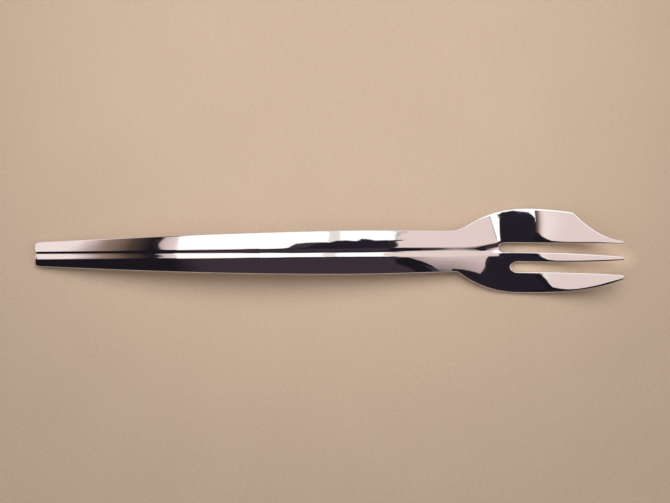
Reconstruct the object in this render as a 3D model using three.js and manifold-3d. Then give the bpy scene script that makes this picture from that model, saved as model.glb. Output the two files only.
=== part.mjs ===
// Cake fork: one stamped and polished piece of stainless steel.
// A pressed groove runs along the arched handle into the first slot of a flat head with
// three tines. The tine on the +Y side is the cutting tine, wide and with a hollowed edge.
//
// Millimetres. +X points to the tines, +Z up. The fork lies on its bowl and on the end of
// its handle at z = 0, and the origin is under the middle of its length.

import * as THREE from 'three';
import { mergeVertices } from 'three/addons/utils/BufferGeometryUtils.js';
import Module from 'manifold-3d';

const wasm = await Module();
wasm.setup();

// Lengths along the fork
const forkLength = 150;
const headLength = 42.1; // from the neck's corner to the tips
const shoulderLength = 17.4; // from the neck's corner to the head's full width
const hollowLength = 12.7; // of the cutting tine's hollowed edge
const outerTaperLength = 23; // over which the outer tine narrows
const firstSlotLength = 31.5;
const secondSlotLength = 28.8;
const neckLength = 22; // over which the handle narrows to the neck

// Widths across the fork
const handleEndWidth = 6.2;
const handleWidth = 11;
const neckWidth = 10.6;
const headWidth = 21.65;
const firstSlotWidth = 2.2; // at its root
const secondSlotWidth = 2.56; // at its root
const middleTineWidth = 2.6; // at its root
const outerTineWidth = 5.4; // at its root
const cuttingTipWidth = 0.75;
const middleTipWidth = 0.95;
const outerTipWidth = 0.95;
const firstMouthWidth = 3.25; // the first slot's width at the tips
const secondMouthWidth = 3.75; // the second slot's width at the tips
const outerTaper = 3.45; // how far the outer tine's edge comes in
const cuttingTaper = 1.2; // how far the cutting tine's edge comes in before its hollow

// Side view
const handleRise = 9.5; // degrees, at the handle's end
const neckFall = 11; // degrees, at the neck
const tineRise = 12.5; // degrees, at the tips
const archLength = 95; // of the bend over which the handle arches
const archFromEnd = 10; // where that bend starts
const bowlLength = 27; // of the bend under the head
const bowlFromNeck = 0.6; // where that bend starts
const endThickness = 2;
const neckThickness = 2.7;
const tipThickness = 1.05;
const restDepth = 0.08; // worn flat where the fork rests

// Cross-section
const grooveWidth = 2.55; // from ridge to ridge
const grooveDepth = 0.5;
const grooveFade = 1.5; // over which the groove ends where the first slot takes its place
const grooveShift = 0.43; // how far the groove runs off the middle to meet the first slot
const handleFall = 0.62; // from the ridges down to the edges
const headFall = 0.32;
const undersideLift = 0.3; // of the underside's edges
const handleRim = 0.75; // width of the rounded edge
const headRim = 0.95;
const endCorner = 1; // radius at the handle's end
const endNotchDepth = 0.4; // where the groove runs out at the handle's end
const endNotchWidth = 1.7;
const tipRound = 0.7; // length of a tine's rounded tip
const overrun = 2; // of cutters past what they cut

// How full each curve of the outline is, as powers of the share of its length
const handleSwellShare = 1.5;
const shoulderShare = 2.45;
const cuttingTaperShare = 1.8;
const hollowShare = 1.85;
const outerTaperShare = 2.6;

// How finely the curves are cut into facets
const stationCount = 112;
const flankSteps = 4;
const rimSteps = 3;
const undersideSteps = 6;
const curveSteps = 12;

// Places along the fork that several shapes share
const endX = -forkLength / 2;
const tipX = forkLength / 2;
const neckX = tipX - headLength;
const widestHandleX = neckX - neckLength;
const fullHeadX = neckX + shoulderLength;
const hollowX = tipX - hollowLength;
const taperX = tipX - outerTaperLength;
const firstRootX = tipX - firstSlotLength;
const secondRootX = tipX - secondSlotLength;

// Places across the fork: the slots are laid out from the outer tine towards +Y
const headSide = headWidth / 2;
const outerTineTop = outerTineWidth - headSide;
const middleTineBottom = outerTineTop + secondSlotWidth;
const middleTineTop = middleTineBottom + middleTineWidth;
const cuttingTineBottom = middleTineTop + firstSlotWidth;
const outerTipBottom = outerTaper - headSide;
const outerTipTop = outerTipBottom + outerTipWidth;
const middleTipBottom = outerTipTop + secondMouthWidth;
const middleTipTop = middleTipBottom + middleTipWidth;
const cuttingTipBottom = middleTipTop + firstMouthWidth;
const cuttingTipTop = cuttingTipBottom + cuttingTipWidth;

const { clamp, degToRad, lerp, smoothstep } = THREE.MathUtils;

function share(x, start, end) {
  return clamp((x - start) / (end - start), 0, 1);
}

// The outer edge is the same on both sides up to the head's full width

function handleAndShoulder(x) {
  const swell = 1 - (1 - share(x, endX, widestHandleX)) ** handleSwellShare;
  const handle = lerp(handleEndWidth, handleWidth, swell);
  const narrowed = lerp(handle, neckWidth, smoothstep(x, widestHandleX, neckX));
  const shoulder = 1 - (1 - share(x, neckX, fullHeadX)) ** shoulderShare;
  return lerp(narrowed, headWidth, shoulder) / 2;
}

function cuttingEdge(x) {
  const taper = cuttingTaper * share(x, fullHeadX, hollowX) ** cuttingTaperShare;
  const hollow = 1 - (1 - share(x, hollowX, tipX)) ** hollowShare;
  return lerp(handleAndShoulder(x) - taper, cuttingTipTop, hollow);
}

function outerEdge(x) {
  return -handleAndShoulder(x) + outerTaper * share(x, taperX, tipX) ** outerTaperShare;
}

// The side view has a straight run at each end of the arch and of the bowl. A bend turns one
// run smoothly into the next, and bendRise is what its changing slope adds up to.

function bendRise(x, start, length) {
  const along = Math.max((x - start) / length, 0);
  return length * (along < 1 ? along ** 3 - along ** 4 / 2 : along - 1 / 2);
}

function bentHeight(x) {
  const up = Math.tan(degToRad(handleRise));
  const down = Math.tan(degToRad(neckFall));
  const tips = Math.tan(degToRad(tineRise));
  const arch = bendRise(x, endX + archFromEnd, archLength);
  const bowl = bendRise(x, neckX + bowlFromNeck, bowlLength);
  return up * (x - endX) - (up + down) * arch + (down + tips) * bowl;
}

function thickness(x) {
  const towardsNeck = lerp(endThickness, neckThickness, smoothstep(x, endX, neckX));
  return lerp(towardsNeck, tipThickness, smoothstep(x, neckX, tipX));
}

// The fork is levelled so that its underside touches the table at the handle's end and at
// the lowest place of the bowl

function undersideHeight(x) {
  return bentHeight(x) - thickness(x);
}

const endHeight = undersideHeight(endX);
const levelSteps = 200;
let levelSlope = Infinity;
for (let step = 0; step <= levelSteps; step += 1) {
  const x = lerp(neckX, tipX, step / levelSteps);
  levelSlope = Math.min(levelSlope, (undersideHeight(x) - endHeight) / (x - endX));
}

function ridgeHeight(x) {
  return bentHeight(x) - endHeight - levelSlope * (x - endX) - restDepth;
}

// Cross-section at x, as points [y, z] around it, counter-clockwise seen from the tips

function grooveY(x) {
  return grooveShift * smoothstep(x, widestHandleX, neckX);
}

function grooveDepthAt(x) {
  return grooveDepth * (1 - smoothstep(x, firstRootX, firstRootX + grooveFade));
}

function fallAt(x, acrossShare) {
  return lerp(handleFall, headFall, smoothstep(x, neckX, fullHeadX)) * acrossShare ** 2;
}

function sectionAt(x) {
  const top = ridgeHeight(x);
  const rim = lerp(handleRim, headRim, smoothstep(x, neckX, fullHeadX));
  const middle = grooveY(x);

  function halfTop(edge, side) {
    const ridge = middle + (side * grooveWidth) / 2;
    const rimStart = edge - side * rim;
    const topRim = top - fallAt(x, 1);
    const bottomRim = top - thickness(x) + undersideLift;
    const rimMiddle = (topRim + bottomRim) / 2;
    const points = [];
    for (let step = 0; step < rimSteps; step += 1) {
      const angle = (step / rimSteps) * (Math.PI / 2);
      const y = rimStart + side * rim * Math.cos(angle);
      points.push([y, rimMiddle + (topRim - rimMiddle) * Math.sin(angle)]);
    }
    for (let step = 0; step <= flankSteps; step += 1) {
      const acrossShare = 1 - step / flankSteps;
      points.push([lerp(ridge, rimStart, acrossShare), top - fallAt(x, acrossShare)]);
    }
    return points;
  }

  function underside(edge, side) {
    const rimStart = edge - side * rim;
    const bottom = top - thickness(x);
    const topRim = top - fallAt(x, 1);
    const bottomRim = bottom + undersideLift;
    const rimMiddle = (topRim + bottomRim) / 2;
    const points = [];
    for (let step = 1; step < rimSteps; step += 1) {
      const angle = (step / rimSteps) * (Math.PI / 2);
      const y = rimStart + side * rim * Math.cos(angle);
      points.push([y, rimMiddle - (rimMiddle - bottomRim) * Math.sin(angle)]);
    }
    for (let step = 0; step < undersideSteps / 2; step += 1) {
      const acrossShare = 1 - step / (undersideSteps / 2);
      const y = lerp(middle, rimStart, acrossShare);
      points.push([y, bottom + undersideLift * acrossShare ** 2]);
    }
    return points;
  }

  const cuttingSide = halfTop(cuttingEdge(x), 1);
  const outerSide = halfTop(outerEdge(x), -1).reverse();
  const valley = [[middle, top - grooveDepthAt(x)]];
  const outerUnder = underside(outerEdge(x), -1);
  const keel = [[middle, top - thickness(x)]];
  const cuttingUnder = underside(cuttingEdge(x), 1).reverse();
  return [...cuttingSide, ...valley, ...outerSide, ...outerUnder, ...keel, ...cuttingUnder];
}

// A loft: the rings of a closed unit cylinder become the sections at the stations

function loft(stations, section) {
  const rings = stations.map((x) => section(x).map(([y, z]) => new THREE.Vector3(x, y, z)));
  const around = rings[0].length;
  const centres = rings.map((ring) => {
    const sum = ring.reduce((total, point) => total.add(point), new THREE.Vector3());
    return sum.divideScalar(around);
  });
  const geometry = new THREE.CylinderGeometry(1, 1, 1, around, rings.length - 1);
  const place = geometry.getAttribute('position');
  const lastRing = rings.length - 1;
  for (let index = 0; index < place.count; index += 1) {
    const ring = Math.round((place.getY(index) + 1 / 2) * lastRing);
    const turn = Math.atan2(place.getX(index), place.getZ(index)) / (2 * Math.PI);
    const point = (Math.round(turn * around) + around) % around;
    const onAxis = Math.hypot(place.getX(index), place.getZ(index)) < 1 / 2;
    const target = onAxis ? centres[ring] : rings[ring][point];
    place.setXYZ(index, target.x, target.y, target.z);
  }
  return geometry;
}

// Solids that are joined and cut

function solidOf(geometry) {
  const bare = geometry.clone();
  bare.deleteAttribute('normal');
  bare.deleteAttribute('uv');
  const merged = mergeVertices(bare);
  const vertProperties = new Float32Array(merged.getAttribute('position').array);
  const triVerts = new Uint32Array(merged.index.array);
  return new wasm.Manifold(new wasm.Mesh({ numProp: 3, vertProperties, triVerts }));
}

function geometryOf(solid) {
  const mesh = solid.getMesh();
  const geometry = new THREE.BufferGeometry();
  const points = new THREE.BufferAttribute(new Float32Array(mesh.vertProperties), 3);
  geometry.setAttribute('position', points);
  geometry.setIndex(new THREE.BufferAttribute(new Uint32Array(mesh.triVerts), 1));
  geometry.computeVertexNormals();
  return geometry;
}

// The plan cuts the slots, the tips and the handle's end. Elsewhere it runs outside the
// lofted edges by the overrun.

function roundTip(plan, bottom, top) {
  const middle = (bottom + top) / 2;
  const half = (top - bottom) / 2;
  plan.absellipse(tipX - tipRound, middle, tipRound, half, -Math.PI / 2, Math.PI / 2);
}

function planShape() {
  const plan = new THREE.Shape();
  const tipStart = tipX - tipRound;
  const wide = headSide + overrun;
  const endHalf = handleEndWidth / 2;
  const notchHalf = endNotchWidth / 2;
  const cutStart = endX + endCorner;

  plan.moveTo(cutStart, -wide);
  plan.lineTo(tipStart, -wide);
  plan.lineTo(tipStart, outerEdge(tipStart));
  roundTip(plan, outerEdge(tipStart), outerTipTop);
  plan.quadraticCurveTo(
    lerp(tipX, secondRootX, 1 / 2), outerTineTop,
    secondRootX + secondSlotWidth / 2, outerTineTop,
  );
  plan.absarc(
    secondRootX + secondSlotWidth / 2, (outerTineTop + middleTineBottom) / 2,
    secondSlotWidth / 2, -Math.PI / 2, Math.PI / 2, true,
  );
  plan.quadraticCurveTo(
    lerp(tipX, secondRootX, 1 / 3), middleTineBottom - (middleTineWidth - middleTipWidth) / 3,
    tipStart, middleTipBottom,
  );
  roundTip(plan, middleTipBottom, middleTipTop);
  plan.quadraticCurveTo(
    lerp(tipX, firstRootX, 1 / 2), middleTineTop,
    firstRootX + firstSlotWidth / 2, middleTineTop,
  );
  plan.absarc(
    firstRootX + firstSlotWidth / 2, (middleTineTop + cuttingTineBottom) / 2,
    firstSlotWidth / 2, -Math.PI / 2, Math.PI / 2, true,
  );
  plan.lineTo(tipStart, cuttingTipBottom);
  roundTip(plan, cuttingTipBottom, cuttingEdge(tipStart));
  plan.lineTo(tipStart, wide);
  plan.lineTo(cutStart, wide);
  plan.lineTo(cutStart, endHalf);
  plan.quadraticCurveTo(endX, endHalf, endX, endHalf - endCorner);
  plan.lineTo(endX, notchHalf);
  plan.lineTo(endX + endNotchDepth, 0);
  plan.lineTo(endX, -notchHalf);
  plan.lineTo(endX, endCorner - endHalf);
  plan.quadraticCurveTo(endX, -endHalf, cutStart, -endHalf);
  plan.lineTo(cutStart, -wide);
  return plan;
}

function stations() {
  const places = [];
  for (let step = 0; step <= stationCount; step += 1) {
    places.push(lerp(endX - overrun, tipX + overrun, step / stationCount));
  }
  const corners = [neckX, hollowX];
  const spacing = (forkLength + 2 * overrun) / stationCount;
  corners.forEach((corner) => {
    const nearest = Math.round((corner - places[0]) / spacing);
    places[nearest] = corner;
  });
  return places;
}

function cakeFork() {
  const body = solidOf(loft(stations(), sectionAt));
  const tallest = forkLength / 2;
  const planSolid = new THREE.ExtrudeGeometry(planShape(), {
    depth: tallest,
    bevelEnabled: false,
    curveSegments: curveSteps,
  });
  return geometryOf(body.intersect(solidOf(planSolid)));
}

const steel = new THREE.MeshStandardMaterial({
  color: 0xc9c5c4,
  roughness: 0.1,
  metalness: 1,
});

const fork = new THREE.Mesh(cakeFork(), steel);
fork.name = 'cake_fork';

const model = new THREE.Group();
model.add(fork);

export default model;
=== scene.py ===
"""A polished cake fork on a pale card, seen from straight above.

Metres. The fork lies along X with its tines at +X, its cutting tine on the +Y side and the
table at z = 0. The fork starts as a flat grid whose columns run from the handle's end into
the tines. The slots are taken out of it, it is bent to the side view, given its thickness
by an extrusion and smoothed by a subdivision surface.
"""

import math

import bmesh
import bpy
from bpy.props import FloatProperty, FloatVectorProperty, PointerProperty
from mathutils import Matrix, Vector


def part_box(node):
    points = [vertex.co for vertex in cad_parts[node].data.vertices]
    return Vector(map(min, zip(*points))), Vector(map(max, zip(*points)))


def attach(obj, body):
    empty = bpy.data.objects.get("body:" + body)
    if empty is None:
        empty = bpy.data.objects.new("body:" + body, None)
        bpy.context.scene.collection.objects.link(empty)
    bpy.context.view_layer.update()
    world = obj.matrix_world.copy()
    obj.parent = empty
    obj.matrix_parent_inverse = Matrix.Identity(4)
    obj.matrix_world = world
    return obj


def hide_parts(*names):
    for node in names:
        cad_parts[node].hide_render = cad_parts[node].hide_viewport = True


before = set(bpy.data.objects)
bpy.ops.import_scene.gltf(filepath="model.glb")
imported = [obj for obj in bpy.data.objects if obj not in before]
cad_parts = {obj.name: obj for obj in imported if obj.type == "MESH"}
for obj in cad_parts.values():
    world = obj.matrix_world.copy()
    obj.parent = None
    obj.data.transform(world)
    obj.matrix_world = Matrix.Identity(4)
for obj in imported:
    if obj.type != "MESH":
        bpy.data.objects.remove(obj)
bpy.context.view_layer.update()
fork_low, fork_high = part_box("cake_fork")

bl_info = {
    "name": "Cake fork",
    "version": (1, 0, 0),
    "blender": (4, 5, 0),
    "location": "3D View > Sidebar > Cake fork",
    "description": "Builds a polished cake fork, its table and its studio light",
    "category": "Mesh",
}

MM = 0.001
# How much shorter than its plain solid the fork is, in millimetres.
END_CLEARANCE = 0.01
FORK_LENGTH = (fork_high[0] - fork_low[0]) / MM - END_CLEARANCE


def length_prop(name, description, millimetres):
    """A size that is shown as a distance."""
    return FloatProperty(
        name=name,
        description=description,
        default=millimetres * MM,
        unit="LENGTH",
        subtype="DISTANCE",
        precision=5,
    )


def angle_prop(name, description, degrees):
    """A slope that is shown in degrees."""
    return FloatProperty(
        name=name,
        description=description,
        default=math.radians(degrees),
        unit="ROTATION",
        subtype="ANGLE",
    )


def colour_prop(name, description, default):
    """A linear colour."""
    return FloatVectorProperty(
        name=name,
        description=description,
        default=default,
        size=3,
        min=0.0,
        max=1.0,
        subtype="COLOR",
    )


def share_prop(name, description, default):
    """A number from 0 to 1."""
    return FloatProperty(name=name, description=description, default=default, min=0.0, max=1.0)


def number_prop(name, description, default):
    """A number above 0."""
    return FloatProperty(name=name, description=description, default=default, min=0.0)


class PlanSizes(bpy.types.PropertyGroup):
    """Lengths and widths of the fork, seen from above."""

    fork_length: length_prop("Fork length", "Handle's end to tips", FORK_LENGTH)
    head_length: length_prop("Head length", "Corner of the neck to the tips", 42.1)
    shoulder_length: length_prop("Shoulder length", "Corner of the neck to full width", 17.4)
    hollow_length: length_prop("Hollow length", "Hollowed edge of the cutting tine", 12.7)
    outer_taper_length: length_prop("Outer taper length", "Where the outer tine narrows", 23)
    first_slot_length: length_prop("First slot length", "Root to tips", 31.5)
    second_slot_length: length_prop("Second slot length", "Root to tips", 28.5)
    neck_length: length_prop("Neck length", "Where the handle narrows", 22)
    handle_end_width: length_prop("Handle end width", "At the end of the handle", 6.2)
    handle_width: length_prop("Handle width", "At its widest", 11)
    handle_belly: length_prop("Handle belly", "How far the handle's -Y edge swells out", 0.35)
    neck_width: length_prop("Neck width", "At the corner of the neck", 10.6)
    neck_corner: length_prop("Neck corner", "Rounded corner on the cutting side", 2.4)
    head_width: length_prop("Head width", "At its widest", 21.645)
    first_slot_width: length_prop("First slot width", "At its root", 2.2)
    second_slot_width: length_prop("Second slot width", "At its root", 2.56)
    middle_tine_width: length_prop("Middle tine width", "At its root", 2.6)
    outer_tine_width: length_prop("Outer tine width", "At its root", 5.4)
    cutting_tip_width: length_prop("Cutting tip width", "At the tip", 0.75)
    middle_tip_width: length_prop("Middle tip width", "At the tip", 0.95)
    outer_tip_width: length_prop("Outer tip width", "At the tip", 0.95)
    first_mouth_width: length_prop("First mouth width", "First slot at the tips", 3.25)
    second_mouth_width: length_prop("Second mouth width", "Second slot at the tips", 3.75)
    outer_taper: length_prop("Outer taper", "How far the outer edge comes in", 3.45)
    cutting_taper: length_prop("Cutting taper", "Before the hollow", 1.2)


class SideSizes(bpy.types.PropertyGroup):
    """Side view and cross-section of the fork."""

    handle_rise: angle_prop("Handle rise", "Slope at the end of the handle", 9.5)
    neck_fall: angle_prop("Neck fall", "Slope at the neck", 11)
    tine_rise: angle_prop("Tine rise", "Slope at the tips", 12.5)
    arch_length: length_prop("Arch length", "Bend over which the handle arches", 95)
    arch_from_end: length_prop("Arch from end", "Where that bend starts", 10)
    bowl_length: length_prop("Bowl length", "Bend under the head", 23.8)
    bowl_from_neck: length_prop("Bowl from neck", "Where that bend starts", 3.8)
    end_thickness: length_prop("End thickness", "Steel at the end of the handle", 1.84)
    neck_thickness: length_prop("Neck thickness", "Steel at the neck", 2.54)
    tip_thickness: length_prop("Tip thickness", "Steel at the tips", 0.89)
    rest_depth: length_prop("Rest depth", "Worn flat where the fork rests", 0.08)
    end_ridge: length_prop("End ridge", "Upper ridge at the handle's end", 0.58)
    arch_ridge: length_prop("Arch ridge", "Upper ridge at the top of the arch", 0.73)
    neck_ridge: length_prop("Neck ridge", "Upper ridge at the neck", 0.9)
    lower_ridge: length_prop("Lower ridge", "Off the middle line, towards -Y", 1.25)
    end_groove_depth: length_prop("End groove depth", "Ridge to valley, at the handle's end", 0.26)
    groove_depth: length_prop("Groove depth", "Ridge to valley, along the handle", 0.35)
    neck_groove_depth: length_prop("Neck groove depth", "Ridge to valley, at the neck", 0.13)
    root_groove_depth: length_prop("Root groove depth", "Ridge to valley, at the first slot", 0.48)
    root_step: length_prop("Root step", "Down to the lower tines, past the groove", 0.22)
    underside_lift: length_prop("Underside lift", "Edges of the underside", 0.3)
    handle_support: length_prop("Handle support", "How broadly its edges are rounded", 0.22)
    head_support: length_prop("Head support", "How broadly its edges are rounded", 0.42)
    end_corner: length_prop("End corner", "Radius at the end of the handle", 1)
    end_notch: length_prop("End notch", "Where the groove runs out", 0.4)
    tip_round: length_prop("Tip round", "Length of the rounded tips", 0.7)
    rim_drop: length_prop("Rim drop", "How far the tines' -Y rims are polished down", 0.06)


class SteelFinish(bpy.types.PropertyGroup):
    """Mirror polish of the steel."""

    colour: colour_prop("Colour", "Polished steel", (0.86, 0.84, 0.83))
    roughness: share_prop("Roughness", "Of the polish", 0.03)
    mark_roughness: share_prop("Mark roughness", "Along the hairlines", 0.09)
    haze: share_prop("Haze", "Roughness that wiping leaves", 0.02)
    wave_scale: number_prop("Wave scale", "Waves of the polished surface in a metre", 160)
    wave_height: length_prop("Wave height", "Of the polished surface", 0.006)
    hairline_scale: number_prop("Hairline scale", "Hairlines in a metre", 6000)
    hairline_height: length_prop("Hairline height", "Depth of the hairlines", 0.0003)
    wipe_scale: number_prop("Wipe scale", "Dull patches in a metre", 220)


class StageSizes(bpy.types.PropertyGroup):
    """Table, camera and studio light."""

    card_colour: colour_prop("Card colour", "The pale card under the fork", (0.66, 0.5, 0.378))
    # Painted light on the card: full colour within a radius of its brightest place, darkening away
    # from it.
    painted_light_y: length_prop("Bright Y", "Brightest place of the card", 60)
    painted_light_radius: length_prop("Bright radius", "Before the card gets darker", 30)
    painted_light_reach: length_prop("Bright reach", "To where the card is darkest", 152)
    painted_fade_share: share_prop("Far shade", "Of the card's colour, away from the fork", 0.67)
    # Painted light: a brighter patch in the card's colour under the slots, standing in for light
    # that the polished tines throw there.
    painted_slot_patch: number_prop("Slot light", "Brightness that the tines throw on the card", 1.36)
    painted_slot_patch_x: length_prop("Slot light X", "Middle of that light along the fork", 61.5)
    painted_slot_patch_y: length_prop("Slot light Y", "Middle of that light across the fork", -2.2)
    painted_slot_patch_length: length_prop("Slot light length", "Half its length", 19)
    painted_slot_patch_width: length_prop("Slot light width", "Half its width", 6.2)
    painted_slot_patch_core: share_prop("Slot light core", "Share of it that is fully bright", 0.65)
    mottle_scale: number_prop("Mottle scale", "Blotches of the card in a metre", 45)
    grain_scale: number_prop("Grain scale", "Grains of the card in a metre", 1800)
    grain_height: length_prop("Grain height", "Of the card", 0.03)
    camera_height: length_prop("Camera height", "Above the table", 705)
    key_strength: number_prop("Key strength", "Light from beyond the fork", 2.25)
    key_rise: angle_prop("Key rise", "How high that light stands", 61)
    side_strength: number_prop("Side strength", "Light from either side", 0.45)
    side_rise: angle_prop("Side rise", "How high the side lights stand", 38)
    softness: angle_prop("Softness", "How broad each light is", 46)
    fill_strength: number_prop("Fill strength", "Light from all round", 0.25)
    backdrop_colour: colour_prop("Backdrop colour", "Behind the table", (0.8, 0.72, 0.64))
    picture_width: length_prop("Picture width", "Width of the picture on the fork", 170.2)
    picture_x: length_prop("Picture X", "Middle of the picture along the fork", 1.7)
    picture_y: length_prop("Picture Y", "Middle of the picture across the fork", 0.12)
    picture_turn: angle_prop("Picture turn", "How far the fork is turned in the picture", 0.443)


# Exponents of the curves of the outline, and of how the handle's lines run into the head.
HANDLE_SWELL = 1.5
SHOULDER_SWELL = 2.45
CUTTING_TAPER = 1.8
HOLLOW_SWELL = 1.85
OUTER_TAPER = 2.6
HEAD_ENTRY = 1.6
ROOT_EASING = 1.5

# The two lower tines turn level over this length, which starts later towards their -Y edges.
LEVEL_LENGTH = 9 * MM
LEVEL_LEAD = 3.5
LEVEL_SPREAD = 8.5

# Where lines lie between two others, as shares.
LOWER_FLANK_LINES = (0.26, 0.52)
SLOT_VALLEY = 0.27

ROOT_REACH = 6.5 * MM
TIP_FULLNESS = 0.93
END_FULLNESS = 0.8
END_ROWS = 3
BOWL_STEPS = 200
TINY = 1e-9
SMOOTHING_LEVELS = 2

TABLE_HALF = 3.0
TABLE_ROUGHNESS = 0.85
SENSOR_WIDTH = 36.0
FORK_HEIGHT = 5 * MM
NO_STRETCH = (1, 1, 1)

WHITE = (1.25, 1.25, 1.25)
PINK = (1.0, 0.86, 0.83)
DULL_PINK = (0.88, 0.72, 0.69)
PALE = (0.93, 0.85, 0.84)
GREY_PINK = (0.6, 0.46, 0.46)
DARK_PINK = (0.3, 0.24, 0.24)
BROWN = (0.31, 0.21, 0.16)
DARK_BROWN = (0.075, 0.048, 0.04)
PURPLE = (0.05, 0.035, 0.048)
SHADE = (0.02, 0.0155, 0.024)
BLACK = (0.012, 0.01, 0.015)

# Glowing cards overhead that light nothing and only the steel's reflections show, so their colours
# paint what the steel reflects; lowest first: name, height, corners, colours along an axis, axis.
# Millimetres.
REFLECTORS = (
    (
        "shoulder_shade",
        20,
        (
            (38.2, -14), (38.2, -10.3), (39.6, -10), (41.5, -9.7), (43.4, -9.7), (45, -9.7),
            (45.8, -8.2), (46.6, -6.3), (47.1, -3.3), (47.4, -2.1), (48, -1.8),
            (49.5, -1.9), (49.5, -14),
        ),
        ((0, SHADE),),
        "X",
    ),
    (
        "flank_shade",
        60,
        (
            (35.4, -27), (35.4, -38), (35, -46), (47, -46), (47, -38), (45, -31),
            (42, -26.5), (40.5, -24), (39, -21.5),
        ),
        ((0, BLACK),),
        "X",
    ),
    (
        "camera_shade",
        240,
        (
            (10, -64), (97, -64), (97, -1), (98.5, 20), (97, 40), (101, 42), (101, 46),
            (88, 48), (80, 49), (67, 66), (65, 53), (56, 61), (47, 62), (40, 53), (26, 51),
            (11, 37), (10, -10),
        ),
        ((0, SHADE),),
        "X",
    ),
    (
        "tine_card",
        500,
        (
            (-187, -94), (-141, -90), (-116, -55), (-100, -30), (-91, -22), (-79, -14),
            (-69, -5), (-49, 6), (-38, 25), (-38, 110), (-187, 110),
        ),
        (
            (-187, DULL_PINK),
            (-125, DULL_PINK),
            (-88, PINK),
            (-76, DULL_PINK),
            (-58, BROWN),
            (-38, BLACK),
        ),
        "X",
    ),
    (
        "softbox_bar",
        501,
        ((82, 110), (104, 110), (107, 900), (84, 900)),
        ((0, PALE),),
        "X",
    ),
    (
        "softbox",
        502,
        (
            (-187, 55), (-20, 48), (8, 105), (22, 138), (47, 130), (83, 112), (96, 130),
            (140, 108), (150, 20), (158, 5), (168, 5), (174, 21), (180, 35), (184, 54),
            (186, 78), (186, 900), (-228, 900),
        ),
        ((0, WHITE),),
        "X",
    ),
    (
        "softbox_edge",
        503,
        (
            (-187, 70), (-187, 320), (-212, 300), (-221, 270), (-221, 246), (-223, 232),
            (-225, 210), (-225, 180), (-221, 154), (-216, 131), (-203, 100),
        ),
        ((-225, GREY_PINK), (-190, PINK)),
        "X",
    ),
    (
        "right_card",
        504,
        (
            (168, -4), (190, -60), (180, -115), (200, -165), (240, -260), (900, -260),
            (900, 900), (187.5, 900), (188, 78), (186.5, 54), (183, 35), (177, 21),
            (168, 8),
        ),
        ((-260, DARK_BROWN), (-200, DARK_PINK), (-80, GREY_PINK), (0, DULL_PINK), (900, PINK)),
        "Y",
    ),
    (
        "left_card",
        505,
        ((-900, 0), (-212, 0), (-240, 900), (-900, 900)),
        (
            (-900, PINK),
            (-328, PINK),
            (-316, GREY_PINK),
            (-303, BROWN),
            (-268, DARK_BROWN),
            (-240, BLACK),
        ),
        "X",
    ),
    (
        "dark_wall",
        506,
        ((-200, -190), (215, -190), (190, 0), (-150, 0), (-200, -35)),
        ((0, BLACK),),
        "X",
    ),
    (
        "ceiling",
        507,
        ((-1000, -1250), (1000, -1250), (1000, 1000), (-1000, 1000)),
        ((-215, BLACK), (-150, PURPLE)),
        "X",
    ),
)


def lerp(start, end, share):
    return start + (end - start) * share


def share_of(value, start, end):
    """How far value is between start and end, from 0 to 1."""
    return min(max((value - start) / (end - start), 0.0), 1.0)


def smooth_share(value, start, end):
    """The same, easing in and out."""
    share = share_of(value, start, end)
    return share * share * (3 - 2 * share)


def arc_height(x, start, bend, end):
    """Height at x of the parabola from start to end that leaves both towards bend."""
    a = start[0] - 2 * bend[0] + end[0]
    b = 2 * (bend[0] - start[0])
    c = start[0] - x
    if abs(a) < TINY:
        t = -c / b
    else:
        t = (-b + math.copysign(math.sqrt(max(b * b - 4 * a * c, 0.0)), b)) / (2 * a)
    t = min(max(t, 0.0), 1.0)
    return (1 - t) ** 2 * start[1] + 2 * t * (1 - t) * bend[1] + t * t * end[1]


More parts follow.
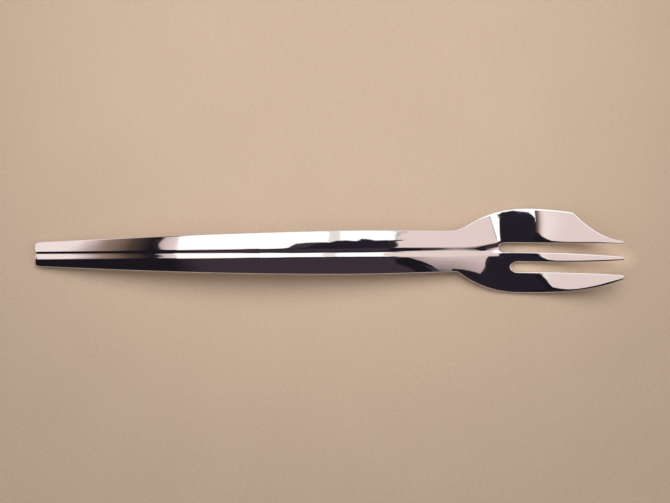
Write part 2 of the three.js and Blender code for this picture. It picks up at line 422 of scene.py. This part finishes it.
class ForkForm:
    """Where the lines and surfaces of the fork run, worked out from its sizes."""

    def __init__(self, plan, side):
        self.plan = plan
        self.side = side
        self.end_x = -plan.fork_length / 2
        self.tip_x = plan.fork_length / 2
        self.neck_x = self.tip_x - plan.head_length
        self.widest_x = self.neck_x - plan.neck_length
        self.slot_lead_x = self.neck_x + 2 * MM
        self.full_x = self.neck_x + plan.shoulder_length
        self.hollow_x = self.tip_x - plan.hollow_length
        self.taper_x = self.tip_x - plan.outer_taper_length
        self.first_root_x = self.tip_x - plan.first_slot_length
        self.second_root_x = self.tip_x - plan.second_slot_length
        self.first_arc_x = self.first_root_x + plan.first_slot_width / 2
        self.second_arc_x = self.second_root_x + plan.second_slot_width / 2
        self.tip_start_x = self.tip_x - side.tip_round

        head_side = plan.head_width / 2
        self.outer_top = plan.outer_tine_width - head_side
        self.middle_bottom = self.outer_top + plan.second_slot_width
        self.middle_top = self.middle_bottom + plan.middle_tine_width
        self.cutting_bottom = self.middle_top + plan.first_slot_width
        self.outer_tip_top = plan.outer_taper - head_side + plan.outer_tip_width
        self.middle_tip_bottom = self.outer_tip_top + plan.second_mouth_width
        self.middle_tip_top = self.middle_tip_bottom + plan.middle_tip_width
        self.cutting_tip_bottom = self.middle_tip_top + plan.first_mouth_width
        self.cutting_tip_top = self.cutting_tip_bottom + plan.cutting_tip_width

        # Where a flank changes, how steeply it leaves its ridge there, and what each millimetre
        # adds to that.
        top_x = self.end_x + side.arch_from_end + side.arch_length / 2
        self.upper_slopes = (
            (top_x, 0.12, 0.034),
            (self.widest_x - 8 * MM, 0.03, 0.045),
            (self.widest_x + 5 * MM, 0.0, 0.045),
            (self.neck_x, 0.008, 0.0125),
            (self.first_root_x, -0.01, 0.0095),
            (self.full_x, -0.08, 0.0185),
            (self.full_x + 4 * MM, -0.06, 0.015),
            (self.hollow_x, 0.0, 0.005),
        )
        self.lower_slopes = (
            (self.widest_x + 5 * MM, 0.2, 0.04),
            (self.neck_x - 5 * MM, 0.02, 0.05),
            (self.first_root_x, 0.02, 0.0075),
        )

        # Where the groove changes, and its upper ridge, valley and depth there.
        self.groove_stations = (
            (self.end_x + 20 * MM, (side.end_ridge, 0.15 * MM, side.end_groove_depth)),
            (self.end_x + 42 * MM, (side.arch_ridge, -0.03 * MM, side.groove_depth)),
            (self.widest_x + 7 * MM, (side.neck_ridge, -0.05 * MM, side.groove_depth)),
            (self.widest_x + 14 * MM, (side.neck_ridge, 0.05 * MM, 0.28 * MM)),
            (self.neck_x - 1 * MM, (side.neck_ridge, 0.15 * MM, side.neck_groove_depth)),
            (self.neck_x + 1.5 * MM, (side.neck_ridge, 0.18 * MM, side.neck_groove_depth)),
            (self.first_root_x, (side.neck_ridge, 0.33 * MM, side.root_groove_depth)),
        )

        self.end_height = self.underside_height(self.end_x)
        shares = [step / BOWL_STEPS for step in range(BOWL_STEPS + 1)]
        xs = [lerp(self.neck_x, self.tip_x, share) for share in shares]
        self.level_slope = min(
            (self.underside_height(x) - self.end_height) / (x - self.end_x) for x in xs
        )

    def eased(self, x):
        """x, which the rounded corner of the neck on the cutting side holds back."""
        reach = self.plan.neck_corner
        middle = self.neck_x + reach / 3
        if x < middle - reach:
            return x
        into = min(max(x - middle + reach, 0.0), 2 * reach)
        past = max(x - middle - reach, 0.0)
        return self.neck_x + into**2 / (4 * reach) + past

    def half_width(self, x):
        """The outer edge up to the full width of the head."""
        plan = self.plan
        swell = 1 - (1 - share_of(x, self.end_x, self.widest_x)) ** HANDLE_SWELL
        handle = lerp(plan.handle_end_width, plan.handle_width, swell)
        narrowed = lerp(handle, plan.neck_width, smooth_share(x, self.widest_x, self.neck_x))
        shoulder = 1 - (1 - share_of(x, self.neck_x, self.full_x)) ** SHOULDER_SWELL
        return lerp(narrowed, plan.head_width, shoulder) / 2

    def cutting_edge(self, x):
        taper = self.plan.cutting_taper * share_of(x, self.full_x, self.hollow_x) ** CUTTING_TAPER
        hollow = 1 - (1 - share_of(x, self.hollow_x, self.tip_x)) ** HOLLOW_SWELL
        return lerp(self.half_width(self.eased(x)) - taper, self.cutting_tip_top, hollow)

    def outer_edge(self, x):
        plan = self.plan
        belly = plan.handle_belly * math.sin(math.pi * share_of(x, self.end_x, self.neck_x))
        taper = plan.outer_taper * share_of(x, self.taper_x, self.tip_x) ** OUTER_TAPER
        return taper - belly - self.half_width(x)

    def slot_lines(self, x):
        """The four edges of the two slots at x, from +Y to -Y."""
        first = lerp(
            self.cutting_bottom,
            self.cutting_tip_bottom,
            share_of(x, self.first_arc_x, self.tip_start_x),
        )
        second = arc_height(
            x,
            (self.first_arc_x, self.middle_top),
            (lerp(self.tip_x, self.first_root_x, 1 / 2), self.middle_top),
            (self.tip_start_x, self.middle_tip_top),
        )
        narrowing = (self.plan.middle_tine_width - self.plan.middle_tip_width) / 3
        third = arc_height(
            x,
            (self.second_arc_x, self.middle_bottom),
            (lerp(self.tip_x, self.second_root_x, 1 / 3), self.middle_bottom - narrowing),
            (self.tip_start_x, self.middle_tip_bottom),
        )
        fourth = arc_height(
            x,
            (self.second_arc_x, self.outer_top),
            (lerp(self.tip_x, self.second_root_x, 1 / 2), self.outer_top),
            (self.tip_start_x, self.outer_tip_top),
        )
        return first, second, third, fourth

    def bend_rise(self, x, start, length):
        """What the changing slope of a bend adds up to at x."""
        along = max((x - start) / length, 0.0)
        return length * (along**3 - along**4 / 2 if along < 1 else along - 0.5)

    def bent_height(self, x):
        side = self.side
        up = math.tan(side.handle_rise)
        down = math.tan(side.neck_fall)
        tips = math.tan(side.tine_rise)
        arch = self.bend_rise(x, self.end_x + side.arch_from_end, side.arch_length)
        bowl = self.bend_rise(x, self.neck_x + side.bowl_from_neck, side.bowl_length)
        return up * (x - self.end_x) - (up + down) * arch + (down + tips) * bowl

    def thickness(self, x):
        side = self.side
        towards_neck = lerp(
            side.end_thickness, side.neck_thickness, smooth_share(x, self.end_x, self.neck_x)
        )
        return lerp(towards_neck, side.tip_thickness, smooth_share(x, self.neck_x, self.tip_x))

    def underside_height(self, x):
        return self.bent_height(x) - self.thickness(x)

    def ridge_height(self, x):
        lean = self.level_slope * (x - self.end_x)
        return self.bent_height(x) - self.end_height - lean - self.side.rest_depth

    def groove_at(self, x):
        """The groove at x: its upper ridge, its valley and how deep it is."""
        last = self.groove_stations[0]
        for station in self.groove_stations[1:]:
            if x < station[0]:
                share = share_of(x, last[0], station[0])
                return [lerp(a, b, share) for a, b in zip(last[1], station[1])]
            last = station
        return last[1]

    def flank_slopes(self, x, stations):
        """How steeply a flank leaves its ridge at x, and what each millimetre adds."""
        last = stations[0]
        for station in stations[1:]:
            if x < station[0]:
                share = smooth_share(x, last[0], station[0])
                return lerp(last[1], station[1], share), lerp(last[2], station[2], share)
            last = station
        return last[1:]

    def flank_fall(self, x, y):
        """How far the top has come down from its ridges at (x, y)."""
        if y > 0:
            out = max(y - self.groove_at(x)[0], 0.0)
            slope, curving = self.flank_slopes(x, self.upper_slopes)
        else:
            out = max(-y - self.side.lower_ridge, 0.0)
            slope, curving = self.flank_slopes(x, self.lower_slopes)
        return slope * out + curving / MM * out**2 / 2

    def top_height(self, x, y):
        """The two lower tines turn level about their own middles, upper edges first."""
        fall = self.flank_fall(x, y)
        _, second, third, fourth = self.slot_lines(x)
        if y <= second:
            ends = (second, third) if y >= third else (fourth, self.outer_edge(x))
            start = self.full_x + (LEVEL_SPREAD * share_of(y, *ends) - LEVEL_LEAD) * MM
            level = smooth_share(x, start, start + LEVEL_LENGTH)
            fall = lerp(fall, self.flank_fall(x, sum(ends) / 2), level)
        return self.ridge_height(x) - fall

    def bottom_height(self, x, y):
        edge = self.cutting_edge(x) if y > 0 else -self.outer_edge(x)
        lift = self.side.underside_lift * min(abs(y) / edge, 1.0) ** 2
        return max(self.ridge_height(x) - self.thickness(x) + lift, 0.0)


class ForkGrid:
    """Rows and columns of the flat grid that becomes the fork.

    From +Y to -Y the columns are the cutting tine, the first slot, the middle tine, the
    second slot and the outer tine. Before the slots start, the first slot's columns are the
    groove, and the others cover the flanks of the handle.
    """

    CUTTING = 6
    SLOT = 4
    MIDDLE = 4
    OUTER = 5

    def __init__(self, form):
        self.form = form
        self.first_slot = (self.CUTTING, self.CUTTING + self.SLOT)
        middle_end = self.first_slot[1] + self.MIDDLE
        self.second_slot = (middle_end, middle_end + self.SLOT)
        self.columns = self.second_slot[1] + self.OUTER
        self.xs = self.row_places()
        self.first_row = self.xs.index(form.first_arc_x)
        self.second_row = self.xs.index(form.second_arc_x)

    def row_places(self):
        """Where the rows lie along the fork: close together where its outline turns."""
        form = self.form
        corner = form.side.end_corner
        # Start, end and number of rows.
        runs = [
            (form.end_x, form.end_x + 0.3 * corner, 1),
            (form.end_x + 0.3 * corner, form.end_x + corner, 1),
            (form.end_x + corner, form.end_x + 4 * corner, 2),
            (form.end_x + 4 * corner, form.widest_x, 27),
            (form.widest_x, form.neck_x - corner, 9),
            (form.neck_x - corner, form.neck_x + corner, 4),
            (form.neck_x + corner, form.first_arc_x - 0.6 * corner, 8),
            (form.first_arc_x - 0.6 * corner, form.first_arc_x, 1),
            (form.first_arc_x, form.second_arc_x - 0.6 * corner, 2),
            (form.second_arc_x - 0.6 * corner, form.second_arc_x, 1),
            (form.second_arc_x, form.hollow_x - 0.5 * corner, 10),
            (form.hollow_x - 0.5 * corner, form.hollow_x + 0.5 * corner, 2),
            (form.hollow_x + 0.5 * corner, form.tip_start_x, 8),
            (form.tip_start_x, form.tip_x, 3),
        ]
        places = [form.end_x]
        for start, end, steps in runs:
            places += [lerp(start, end, step / steps) for step in range(1, steps)] + [end]
        return places

    def lines(self, x):
        """The edges of the five groups of columns at x, from +Y to -Y."""
        form = self.form
        top, bottom = form.cutting_edge(x), form.outer_edge(x)
        in_head = share_of(x, form.slot_lead_x, form.first_root_x) ** HEAD_ENTRY
        low_ridge = -form.side.lower_ridge
        lower = [lerp(low_ridge, bottom, share) for share in LOWER_FLANK_LINES]
        flank = [form.groove_at(x)[0], low_ridge, *lower]
        slots = form.slot_lines(x)
        inner = [lerp(a, b, in_head) for a, b in zip(flank, slots)]
        return [top, *inner, bottom]

    def spread(self, start, end, count):
        """count + 1 places from start to end."""
        return [lerp(start, end, step / count) for step in range(count + 1)]

    def tine(self, start, end, count, support):
        """The same, with a place close to either edge that keeps it crisp."""
        reach = min(support, (start - end) / (count + 0.5))
        return [start, *self.spread(start - reach, end + reach, count - 2), end]

    def groove(self, x, top, bottom):
        """Places across the groove, whose valley moves to the middle of the first slot."""
        form = self.form
        in_head = share_of(x, form.slot_lead_x, form.first_root_x)
        valley = lerp(form.groove_at(x)[1], lerp(bottom, top, SLOT_VALLEY), in_head)
        half = self.SLOT // 2
        upper = [lerp(top, valley, step / half) for step in range(half)]
        return upper + [lerp(valley, bottom, step / half) for step in range(half + 1)]

    def row(self, x):
        """Where the columns cross the row at x."""
        lines = self.lines(x)
        side = self.form.side
        in_head = smooth_share(x, self.form.neck_x, self.form.first_root_x)
        support = lerp(side.handle_support, side.head_support, in_head)
        cutting = self.tine(lines[0], lines[1], self.CUTTING, support)
        first = self.groove(x, lines[1], lines[2])
        middle = self.tine(lines[2], lines[3], self.MIDDLE, support)
        second = self.spread(lines[3], lines[4], self.SLOT)
        outer = self.tine(lines[4], lines[5], self.OUTER, support)
        return cutting + first[1:] + middle[1:] + second[1:] + outer[1:]

    def place(self, i, j):
        """Plan place of the grid's corner in row i and column j."""
        form = self.form
        x = self.xs[i]
        y = self.row(x)[j]
        for (low, high), arc_x in (
            (self.first_slot, form.first_arc_x),
            (self.second_slot, form.second_arc_x),
        ):
            if low <= j <= high and x <= arc_x:
                near = max(1 - (arc_x - x) / ROOT_REACH, 0.0) ** ROOT_EASING
                turn = math.pi * (j - low) / self.SLOT
                top, bottom = self.row(x)[low], self.row(x)[high]
                half = (top - bottom) / 2
                round_y = (top + bottom) / 2 + half * math.cos(turn)
                y = lerp(y, round_y, near)
                x -= half * math.sin(turn) * near
        if self.xs[i] > form.tip_start_x:
            y = self.round_tip(self.xs[i], j, y)
        if i <= END_ROWS:
            x, y = self.round_end(i, j, x, y)
        return x, y

    def round_tip(self, x, j, y):
        """Draws the columns of each tine together towards its tip."""
        form = self.form
        tine = next(
            span
            for span in (
                (0, self.first_slot[0]),
                (self.first_slot[1], self.second_slot[0]),
                (self.second_slot[1], self.columns),
                (self.first_slot[0], self.first_slot[1]),
                (self.second_slot[0], self.second_slot[1]),
            )
            if span[0] <= j <= span[1]
        )
        row = self.row(x)
        middle = (row[tine[0]] + row[tine[1]]) / 2
        along = share_of(x, form.tip_start_x, form.tip_x)
        return lerp(middle, y, math.sqrt(1 - (TIP_FULLNESS * along) ** 2))

    def round_end(self, i, j, x, y):
        """Rounds the corners of the handle's end and notches it where the groove runs out."""
        form = self.form
        corner = form.side.end_corner
        out = max(corner - (x - form.end_x), 0.0)
        drawn_in = corner - math.sqrt(corner**2 - out**2)
        edge = form.half_width(x)
        y *= (edge - END_FULLNESS * drawn_in) / edge
        from_valley = abs(y - form.groove_at(form.end_x)[1]) / form.side.neck_ridge
        notch = max(1 - from_valley, 0.0) * form.side.end_notch
        return x + notch * out / corner, y


def top_of_cage(form, grid, i, j, x, y):
    """Height of the cage's top at the grid's corner in row i and column j."""
    low, high = grid.first_slot
    middle = (low + high) / 2
    stepping = smooth_share(x, form.neck_x - 5 * MM, form.first_root_x)
    step = form.side.root_step * stepping
    depth = form.groove_at(x)[2]
    if j <= middle:
        down = depth * share_of(j, low, middle)
    else:
        down = lerp(depth, step, share_of(j, middle, high))
    if j in (low, grid.second_slot[0], grid.columns):
        down += form.side.rim_drop * smooth_share(x, form.full_x - 2 * MM, form.full_x + 3 * MM)
    return form.top_height(x, y) - down


def fork_cage(form):
    """The flat grid without its slots, bent to the top surface and given its thickness."""
    grid = ForkGrid(form)
    rows = len(grid.xs) - 1
    cage = bmesh.new()
    bmesh.ops.create_grid(cage, x_segments=rows, y_segments=grid.columns, size=0.5)
    cells = {}
    for vert in cage.verts:
        row = round((vert.co.x + 0.5) * rows)
        column = round((0.5 - vert.co.y) * grid.columns)
        cells[vert] = (row, column)
    in_slots = []
    for face in cage.faces:
        row = min(cells[vert][0] for vert in face.verts)
        column = min(cells[vert][1] for vert in face.verts)
        in_first = row >= grid.first_row and grid.first_slot[0] <= column < grid.first_slot[1]
        in_second = row >= grid.second_row and grid.second_slot[0] <= column < grid.second_slot[1]
        if in_first or in_second:
            in_slots.append(face)
    for vert, (i, j) in cells.items():
        x, y = grid.place(i, j)
        vert.co = (x, y, top_of_cage(form, grid, i, j, x, y))
    bmesh.ops.delete(cage, geom=in_slots, context="FACES")

    extruded = bmesh.ops.extrude_face_region(cage, geom=cage.faces[:])["geom"]
    underside = {item for item in extruded if isinstance(item, bmesh.types.BMVert)}
    for vert in underside:
        vert.co.z = form.bottom_height(vert.co.x, vert.co.y)
    uprights = [edge for edge in cage.edges if sum(vert in underside for vert in edge.verts) == 1]
    bmesh.ops.subdivide_edges(cage, edges=uprights, cuts=1, use_grid_fill=True)
    bmesh.ops.recalc_face_normals(cage, faces=cage.faces[:])
    return cage


def add_node(tree, kind, inputs=None, **settings):
    """A node with its settings, and with values or links for its inputs."""
    node = tree.nodes.new(kind)
    for name, value in settings.items():
        setattr(node, name, value)
    for name, value in (inputs or {}).items():
        if isinstance(value, bpy.types.NodeSocket):
            tree.links.new(value, node.inputs[name])
        else:
            node.inputs[name].default_value = value
    return node


def stretched_noise(tree, place, stretch, scale, detail):
    """Noise that is drawn out along the axes by stretch."""
    mapping = add_node(tree, "ShaderNodeMapping", {"Vector": place, "Scale": stretch})
    inputs = {"Vector": mapping.outputs["Vector"], "Scale": scale, "Detail": detail}
    return add_node(tree, "ShaderNodeTexNoise", inputs).outputs["Fac"]


def ramped(tree, value, stops):
    """A colour ramp through the stops."""
    ramp = add_node(tree, "ShaderNodeValToRGB", {"Fac": value})
    elements = ramp.color_ramp.elements
    elements.remove(elements[1])
    for step, (position, colour) in enumerate(stops):
        element = elements.new(position) if step else elements[0]
        element.position = position
        element.color = (*colour, 1.0)
    return ramp.outputs["Color"]


def remapped(tree, value, before, after=(0.0, 1.0), **settings):
    """A value that runs from one range into another."""
    inputs = {
        "Value": value,
        "From Min": before[0],
        "From Max": before[1],
        "To Min": after[0],
        "To Max": after[1],
    }
    return add_node(tree, "ShaderNodeMapRange", inputs, **settings).outputs["Result"]


def vector_math(tree, operation, output, inputs):
    """What a vector operation gives."""
    node = add_node(tree, "ShaderNodeVectorMath", inputs, operation=operation)
    return node.outputs[output]


def multiplied(tree, colour, shade):
    """A colour times another."""
    node = add_node(
        tree,
        "ShaderNodeMix",
        {"Factor": 1.0, 6: colour, 7: shade},
        data_type="RGBA",
        blend_type="MULTIPLY",
    )
    return node.outputs[2]


def scaled(colour, share):
    return tuple(channel * share for channel in colour)


def new_material(name):
    """A material, its node tree and its shader."""
    material = bpy.data.materials.new(name)
    material.use_nodes = True
    tree = material.node_tree
    return material, tree, tree.nodes["Principled BSDF"]


def polished_steel(finish):
    """Mirror polish: slightly wavy, with fine hairlines along the fork and dull patches."""
    material, tree, shader = new_material("polished_steel")
    shader.inputs["Metallic"].default_value = 1.0
    place = add_node(tree, "ShaderNodeTexCoord").outputs["Object"]

    waves = stretched_noise(tree, place, NO_STRETCH, finish.wave_scale, 1.0)
    hairlines = stretched_noise(tree, place, (0.04, 1, 1), finish.hairline_scale, 2.0)
    wiped = stretched_noise(tree, place, (0.6, 1, 1), finish.wipe_scale, 4.0)
    tint = ramped(tree, wiped, ((0.3, scaled(finish.colour, 0.97)), (0.7, finish.colour)))
    tree.links.new(tint, shader.inputs["Base Color"])

    marks = remapped(tree, hairlines, (0.55, 0.8), (finish.roughness, finish.mark_roughness))
    haze = remapped(tree, wiped, (0.45, 0.8), (0.0, finish.haze))
    roughness = add_node(tree, "ShaderNodeMath", {0: marks, 1: haze})
    tree.links.new(roughness.outputs["Value"], shader.inputs["Roughness"])

    wavy = add_node(tree, "ShaderNodeBump", {"Height": waves, "Distance": finish.wave_height})
    scratched = add_node(
        tree,
        "ShaderNodeBump",
        {
            "Height": hairlines,
            "Distance": finish.hairline_height,
            "Normal": wavy.outputs["Normal"],
        },
    )
    tree.links.new(scratched.outputs["Normal"], shader.inputs["Normal"])
    return material


def table_card(stage):
    """Pale paper card with a faint grain, with painted shade that makes it darker away from the
    fork and painted light between its tines.
    """
    material, tree, shader = new_material("table_card")
    shader.inputs["Roughness"].default_value = TABLE_ROUGHNESS
    place = add_node(tree, "ShaderNodeTexCoord").outputs["Object"]

    # Painted light and shade: the card's colour is full near its brightest place and darkens
    # smoothly away from it.
    painted_light_place = (0.0, stage.painted_light_y, 0.0)
    away = vector_math(tree, "DISTANCE", "Value", {0: place, 1: painted_light_place})
    span = (stage.painted_light_radius, stage.painted_light_reach)
    painted_fade = remapped(tree, away, span, interpolation_type="SMOOTHSTEP")
    painted_fade_colour = scaled(stage.card_colour, stage.painted_fade_share)
    ground = ramped(tree, painted_fade, ((0.0, stage.card_colour), (1.0, painted_fade_colour)))

    # Painted light: the card's colour is made brighter in a soft patch under the slots between the
    # tines.
    painted_patch_place = (stage.painted_slot_patch_x, stage.painted_slot_patch_y, 0.0)
    painted_patch_reach = (stage.painted_slot_patch_length, stage.painted_slot_patch_width, 1.0)
    off_middle = vector_math(tree, "SUBTRACT", "Vector", {0: place, 1: painted_patch_place})
    in_reach = vector_math(tree, "DIVIDE", "Vector", {0: off_middle, 1: painted_patch_reach})
    off_painted_patch = vector_math(tree, "LENGTH", "Value", {0: in_reach})
    painted_patch_gain = remapped(
        tree,
        off_painted_patch,
        (stage.painted_slot_patch_core, 1.0),
        (stage.painted_slot_patch, 1.0),
        interpolation_type="SMOOTHSTEP",
    )
    painted_lit = vector_math(tree, "SCALE", "Vector", {0: ground, "Scale": painted_patch_gain})

    mottle = stretched_noise(tree, place, NO_STRETCH, stage.mottle_scale, 3.0)
    grain = stretched_noise(tree, place, (0.5, 1, 1), stage.grain_scale, 4.0)
    blotches = ramped(tree, mottle, ((0.3, (0.97, 0.965, 0.96)), (0.7, (1.0, 1.0, 1.0))))
    specks = ramped(tree, grain, ((0.25, (0.93, 0.925, 0.92)), (0.6, (1.0, 1.0, 1.0))))
    grained = multiplied(tree, multiplied(tree, painted_lit, blotches), specks)
    tree.links.new(grained, shader.inputs["Base Color"])
    rough = add_node(tree, "ShaderNodeBump", {"Height": grain, "Distance": stage.grain_height})
    tree.links.new(rough.outputs["Normal"], shader.inputs["Normal"])
    return material


def glow(name, stops, along):
    """A glowing surface whose colour runs through the stops along its own X or Y."""
    material, tree, shader = new_material(name)
    low, high = stops[0][0], stops[-1][0]
    if low == high:
        colour = (*stops[0][1], 1.0)
    else:
        place = add_node(tree, "ShaderNodeTexCoord").outputs["Object"]
        axes = add_node(tree, "ShaderNodeSeparateXYZ", {"Vector": place})
        share = remapped(tree, axes.outputs[along], (low * MM, high * MM))
        shares = [((at - low) / (high - low), shade) for at, shade in stops]
        colour = ramped(tree, share, shares)
    emission = add_node(tree, "ShaderNodeEmission", {"Color": colour})
    output = tree.nodes["Material Output"]
    tree.links.new(emission.outputs["Emission"], output.inputs["Surface"])
    tree.nodes.remove(shader)
    return material


def add_object(name, shape, material):
    """An object with the faces of shape."""
    mesh = bpy.data.meshes.new(name)
    shape.to_mesh(mesh)
    shape.free()
    mesh.materials.append(material)
    added = bpy.data.objects.new(name, mesh)
    bpy.context.scene.collection.objects.link(added)
    return added


def reflector(name, height, corners, stops, along):
    """A flat glowing card overhead, in millimetres, that only the steel's reflections show; it
    lights nothing.
    """
    shape = bmesh.new()
    shape.faces.new([shape.verts.new((x * MM, y * MM, 0.0)) for x, y in corners])
    sheet = add_object(name, shape, glow(name, stops, along))
    sheet.location.z = height * MM
    sheet.visible_camera = False
    sheet.visible_shadow = False
    sheet.visible_transmission = False
    sheet.visible_diffuse = False


def soft_light(name, strength, softness, heading, rise):
    """Broad even light from heading; what the steel shows of it is the reflectors' part."""
    light = bpy.data.lights.new(name, "SUN")
    light.energy = strength
    light.angle = softness
    lamp = bpy.data.objects.new(name, light)
    level = math.cos(rise)
    place = Vector((math.cos(heading) * level, math.sin(heading) * level, math.sin(rise)))
    lamp.location = place
    lamp.rotation_euler = place.to_track_quat("Z", "Y").to_euler()
    lamp.visible_glossy = False
    bpy.context.scene.collection.objects.link(lamp)


def studio_world(stage):
    """Soft light from all round, before a pale backdrop that the steel shows too."""
    world = bpy.data.worlds.new("studio")
    world.use_nodes = True
    tree = world.node_tree
    background = tree.nodes["Background"]
    background.inputs["Color"].default_value = (*stage.backdrop_colour, 1.0)
    rays = add_node(tree, "ShaderNodeLightPath").outputs
    seen = rays["Is Camera Ray"]
    for ray in ("Is Glossy Ray", "Is Transmission Ray"):
        either = add_node(tree, "ShaderNodeMath", {0: seen, 1: rays[ray]}, operation="MAXIMUM")
        seen = either.outputs["Value"]
    strength = remapped(tree, seen, (0.0, 1.0), (stage.fill_strength, 1.0))
    tree.links.new(strength, background.inputs["Strength"])
    return world


def set_table(stage):
    """The card that the fork lies on."""
    shape = bmesh.new()
    bmesh.ops.create_grid(shape, x_segments=1, y_segments=1, size=TABLE_HALF)
    add_object("table", shape, table_card(stage))


def set_camera(scene, stage):
    """A camera straight above, whose picture is picture_width wide at the fork's height."""
    camera = bpy.data.cameras.new("camera")
    camera.sensor_width = SENSOR_WIDTH
    distance = stage.camera_height - FORK_HEIGHT
    camera.lens = SENSOR_WIDTH * distance / stage.picture_width
    eye = bpy.data.objects.new("camera", camera)
    eye.location = (stage.picture_x, stage.picture_y, stage.camera_height)
    eye.rotation_euler = (0, 0, -stage.picture_turn)
    scene.collection.objects.link(eye)
    scene.camera = eye


class CAKEFORK_OT_fork(bpy.types.Operator):
    """Builds the fork from its sizes, in place of its plain solid"""

    bl_idname = "cakefork.fork"
    bl_label = "Build fork"

    def execute(self, context):
        scene = context.scene
        form = ForkForm(scene.fork_plan, scene.fork_side)
        fork = add_object("fork", fork_cage(form), polished_steel(scene.fork_finish))
        for face in fork.data.polygons:
            face.use_smooth = True
        smoothing = fork.modifiers.new("smoothing", "SUBSURF")
        smoothing.levels = SMOOTHING_LEVELS
        smoothing.render_levels = SMOOTHING_LEVELS
        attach(fork, "root")
        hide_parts("cake_fork")
        return {"FINISHED"}


class CAKEFORK_OT_stage(bpy.types.Operator):
    """Sets up the table, the camera and the studio light"""

    bl_idname = "cakefork.stage"
    bl_label = "Set up stage"

    def execute(self, context):
        scene = context.scene
        stage = scene.fork_stage
        set_table(stage)
        set_camera(scene, stage)
        for name, height, corners, stops, along in REFLECTORS:
            reflector(name, height, corners, stops, along)
        soft_light("key", stage.key_strength, stage.softness, math.pi / 2, stage.key_rise)
        for name, heading in (("left_light", math.pi), ("right_light", 0)):
            soft_light(name, stage.side_strength, stage.softness, heading, stage.side_rise)
        scene.world = studio_world(stage)
        scene.view_settings.view_transform = "Standard"
        return {"FINISHED"}


class CAKEFORK_PT_panel(bpy.types.Panel):
    """Lists the fork's builders"""

    bl_idname = "CAKEFORK_PT_panel"
    bl_label = "Cake fork"
    bl_space_type = "VIEW_3D"
    bl_region_type = "UI"
    bl_category = "Cake fork"

    def draw(self, context):
        for operator in OPERATORS:
            self.layout.operator(operator.bl_idname)


GROUPS = {
    "fork_plan": PlanSizes,
    "fork_side": SideSizes,
    "fork_finish": SteelFinish,
    "fork_stage": StageSizes,
}
OPERATORS = (CAKEFORK_OT_fork, CAKEFORK_OT_stage)


def register():
    for name, group in GROUPS.items():
        bpy.utils.register_class(group)
        setattr(bpy.types.Scene, name, PointerProperty(type=group))
    for operator in OPERATORS:
        bpy.utils.register_class(operator)
    bpy.utils.register_class(CAKEFORK_PT_panel)


def unregister():
    bpy.utils.unregister_class(CAKEFORK_PT_panel)
    for operator in reversed(OPERATORS):
        bpy.utils.unregister_class(operator)
    for name, group in reversed(GROUPS.items()):
        delattr(bpy.types.Scene, name)
        bpy.utils.unregister_class(group)


def main():
    """Registers the classes and builds everything."""
    register()
    bpy.ops.cakefork.fork()
    bpy.ops.cakefork.stage()


if __name__ == "__main__":
    main()
